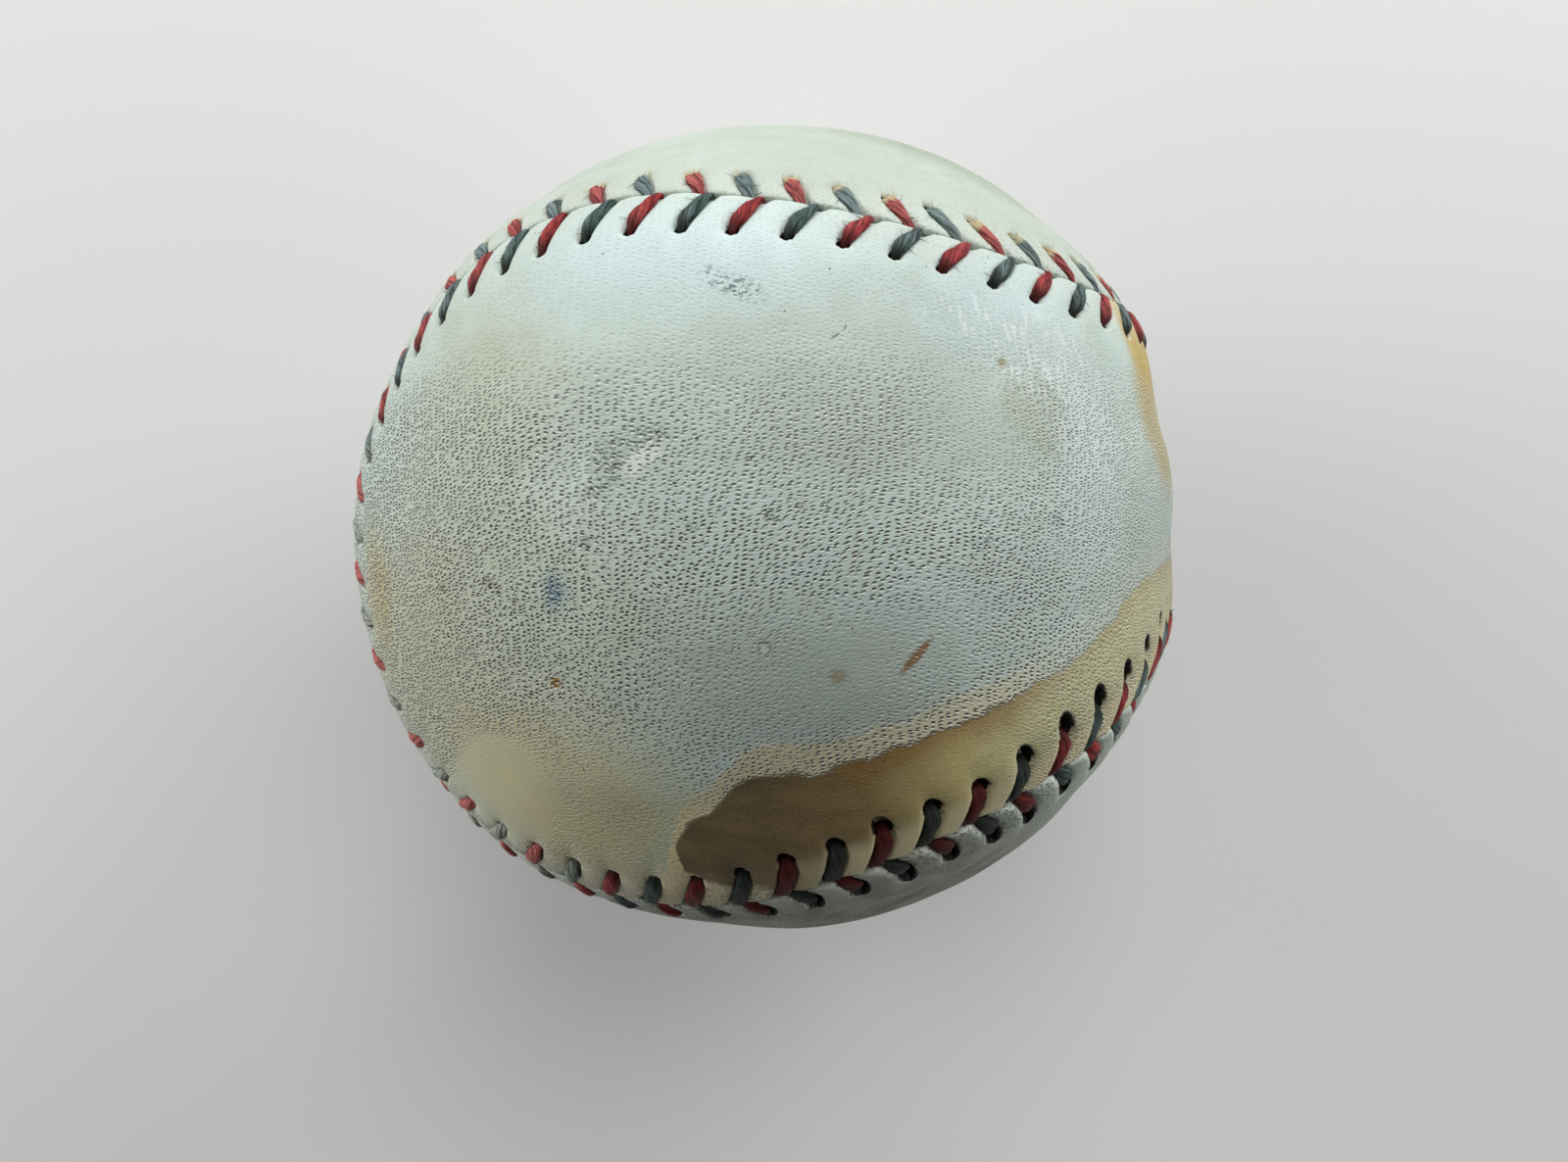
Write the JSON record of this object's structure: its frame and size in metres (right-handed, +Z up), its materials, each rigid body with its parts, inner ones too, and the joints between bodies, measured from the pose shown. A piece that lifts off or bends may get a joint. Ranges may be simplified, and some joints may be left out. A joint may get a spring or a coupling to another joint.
{
  "type": "baseball",
  "caption": "Used leather baseball with a cushioned cork centre, wool and cotton windings, and a two-panel cover laced with red and dark threads.",
  "frame": {"origin": "centre of the ball", "axes": "+Z up as the ball lies, through the middle of one lobe of panel a; +X towards the waist of panel a"},
  "size_m": [0.0753, 0.073, 0.0732],
  "materials": {
    "cork": "moulded cork and rubber granules",
    "black_rubber": "moulded, dull",
    "red_rubber": "moulded, dull",
    "grey_wool": "wound wool yarn",
    "white_wool": "wound wool yarn",
    "cotton": "wound cotton thread",
    "cement": "dried rubber cement, matt",
    "cover_leather": "worn white leather, fine grain, satin",
    "red_thread": "waxed twisted thread",
    "dark_thread": "waxed twisted thread"
  },
  "bodies": {
    "root": {"cork_centre": "cork", "black_rubber_shell_upper": "black_rubber", "black_rubber_shell_lower": "black_rubber", "rubber_gasket": "red_rubber", "red_rubber_layer": "red_rubber", "first_wool_winding": "grey_wool", "second_wool_winding": "white_wool", "third_wool_winding": "grey_wool", "cotton_finish_winding": "cotton", "cement_coat": "cement", "cover_panel_a": "cover_leather", "cover_panel_b": "cover_leather", "red_thread": "red_thread", "dark_thread": "dark_thread"}
  },
  "joints": []
}
